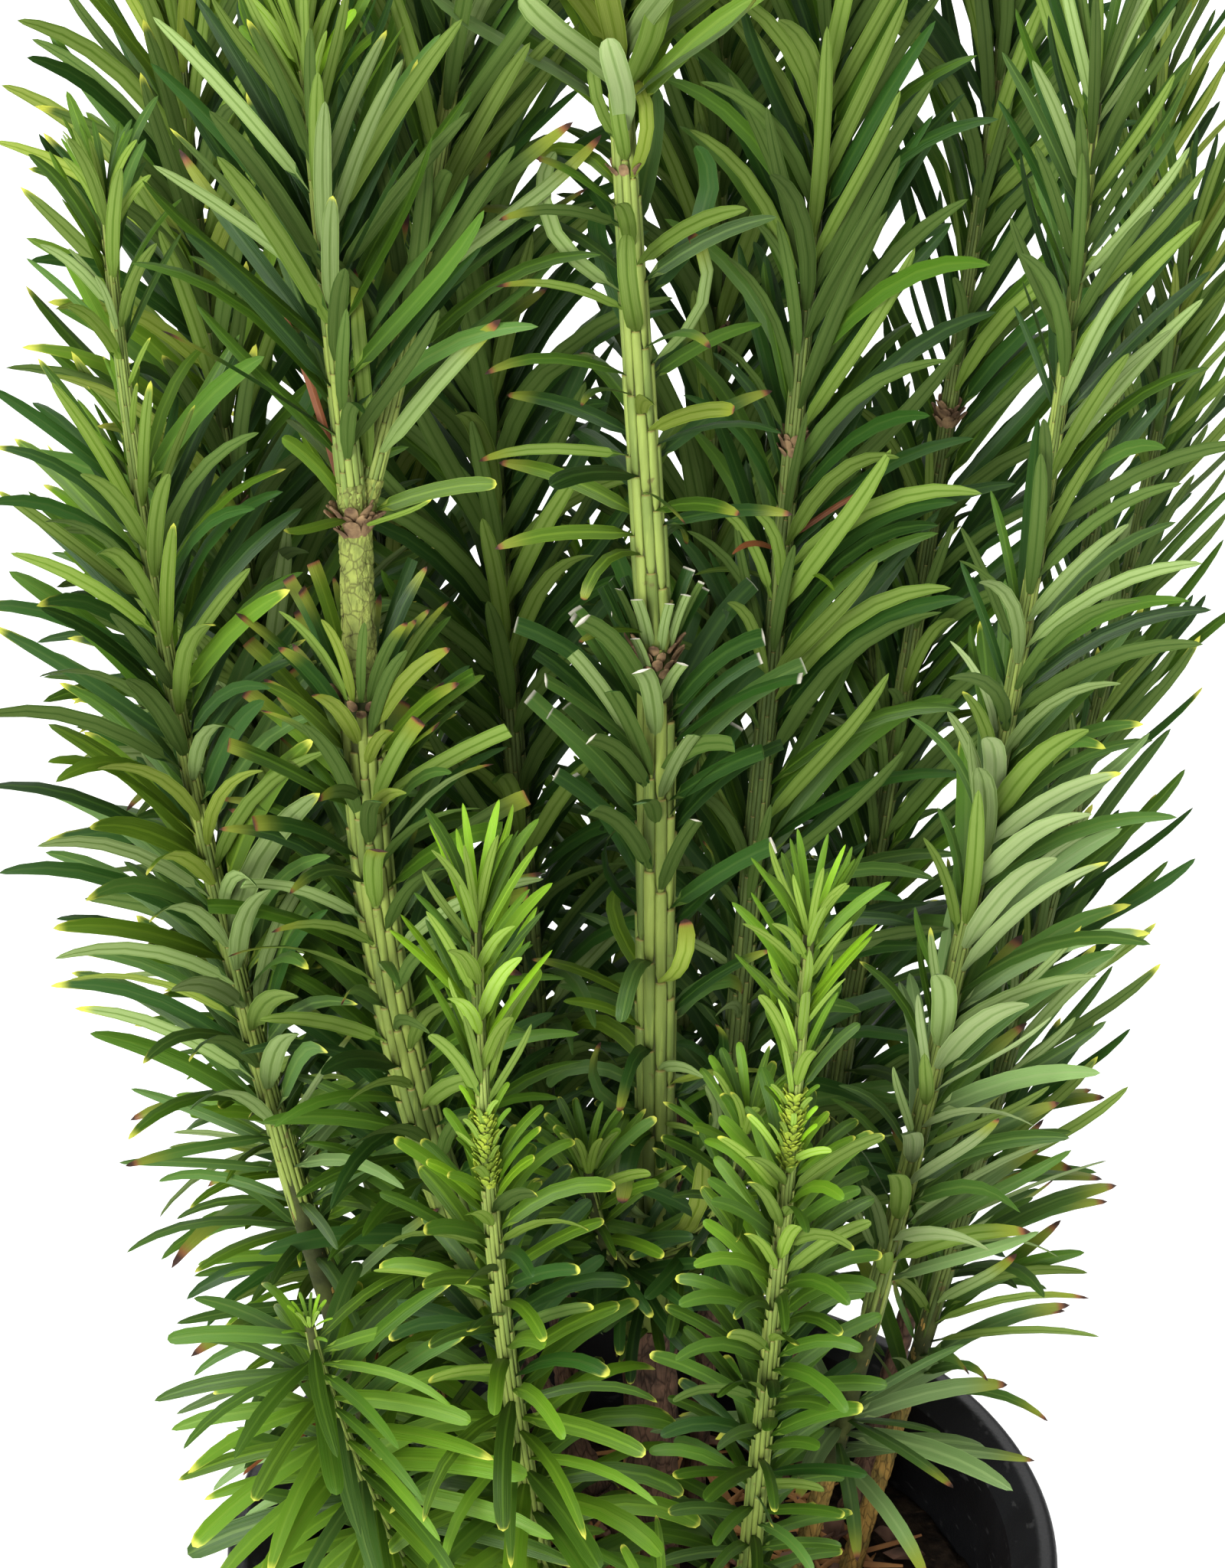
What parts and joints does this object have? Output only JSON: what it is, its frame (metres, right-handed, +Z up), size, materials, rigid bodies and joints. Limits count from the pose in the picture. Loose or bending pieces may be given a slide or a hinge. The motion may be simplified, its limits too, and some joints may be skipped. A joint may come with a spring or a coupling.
{
  "type": "potted evergreen shrub",
  "caption": "Upright evergreen shrub with long narrow needles on erect woody stems, growing in a round black nursery pot with a heavy lip.",
  "frame": {"origin": "centre of the pot's flat underside", "axes": "+Z up, -Y to the front as pictured, +X to the right as seen from the front"},
  "size_m": [0.2302, 0.2009, 0.5331],
  "materials": {
    "black_plastic": "matte black, faintly dusty",
    "potting_mix": "loose dark bark mix",
    "bark": "rough brown bark",
    "green_bark": "ridged yellow-green young bark",
    "needles": "satin dark green",
    "young_needles": "satin bright green"
  },
  "bodies": {
    "root": {"back_centre": "needles", "back_centre_stem": "bark", "back_far_right": "needles", "back_far_right_stem": "bark", "back_left": "needles", "back_left_mid": "needles", "back_left_mid_stem": "bark", "back_left_stem": "bark", "back_low_centre": "needles", "back_low_centre_stem": "bark", "back_low_right": "needles", "back_low_right_stem": "bark", "back_rear_left": "needles", "back_rear_left_stem": "bark", "back_right": "needles", "back_right_stem": "bark", "far_right": "needles", "far_right_stem": "bark", "front_left": "young_needles", "front_left_stem": "green_bark", "front_low": "young_needles", "front_low_stem": "green_bark", "front_right": "young_needles", "front_right_stem": "green_bark", "leader_lower": "needles", "leader_upper": "needles", "left_fan": "needles", "left_fan_stem": "bark", "left_fork": "green_bark", "left_mid": "needles", "left_mid_back": "needles", "left_mid_front": "needles", "left_mid_stem": "bark", "left_outer": "needles", "left_outer_stem": "bark", "left_slim": "young_needles", "left_slim_stem": "green_bark", "pot": "black_plastic", "potting_mix": "potting_mix", "right_mid": "needles", "right_mid_stem": "bark", "right_outer": "needles", "right_outer_stem": "bark", "trunk": "bark"}
  },
  "joints": []
}
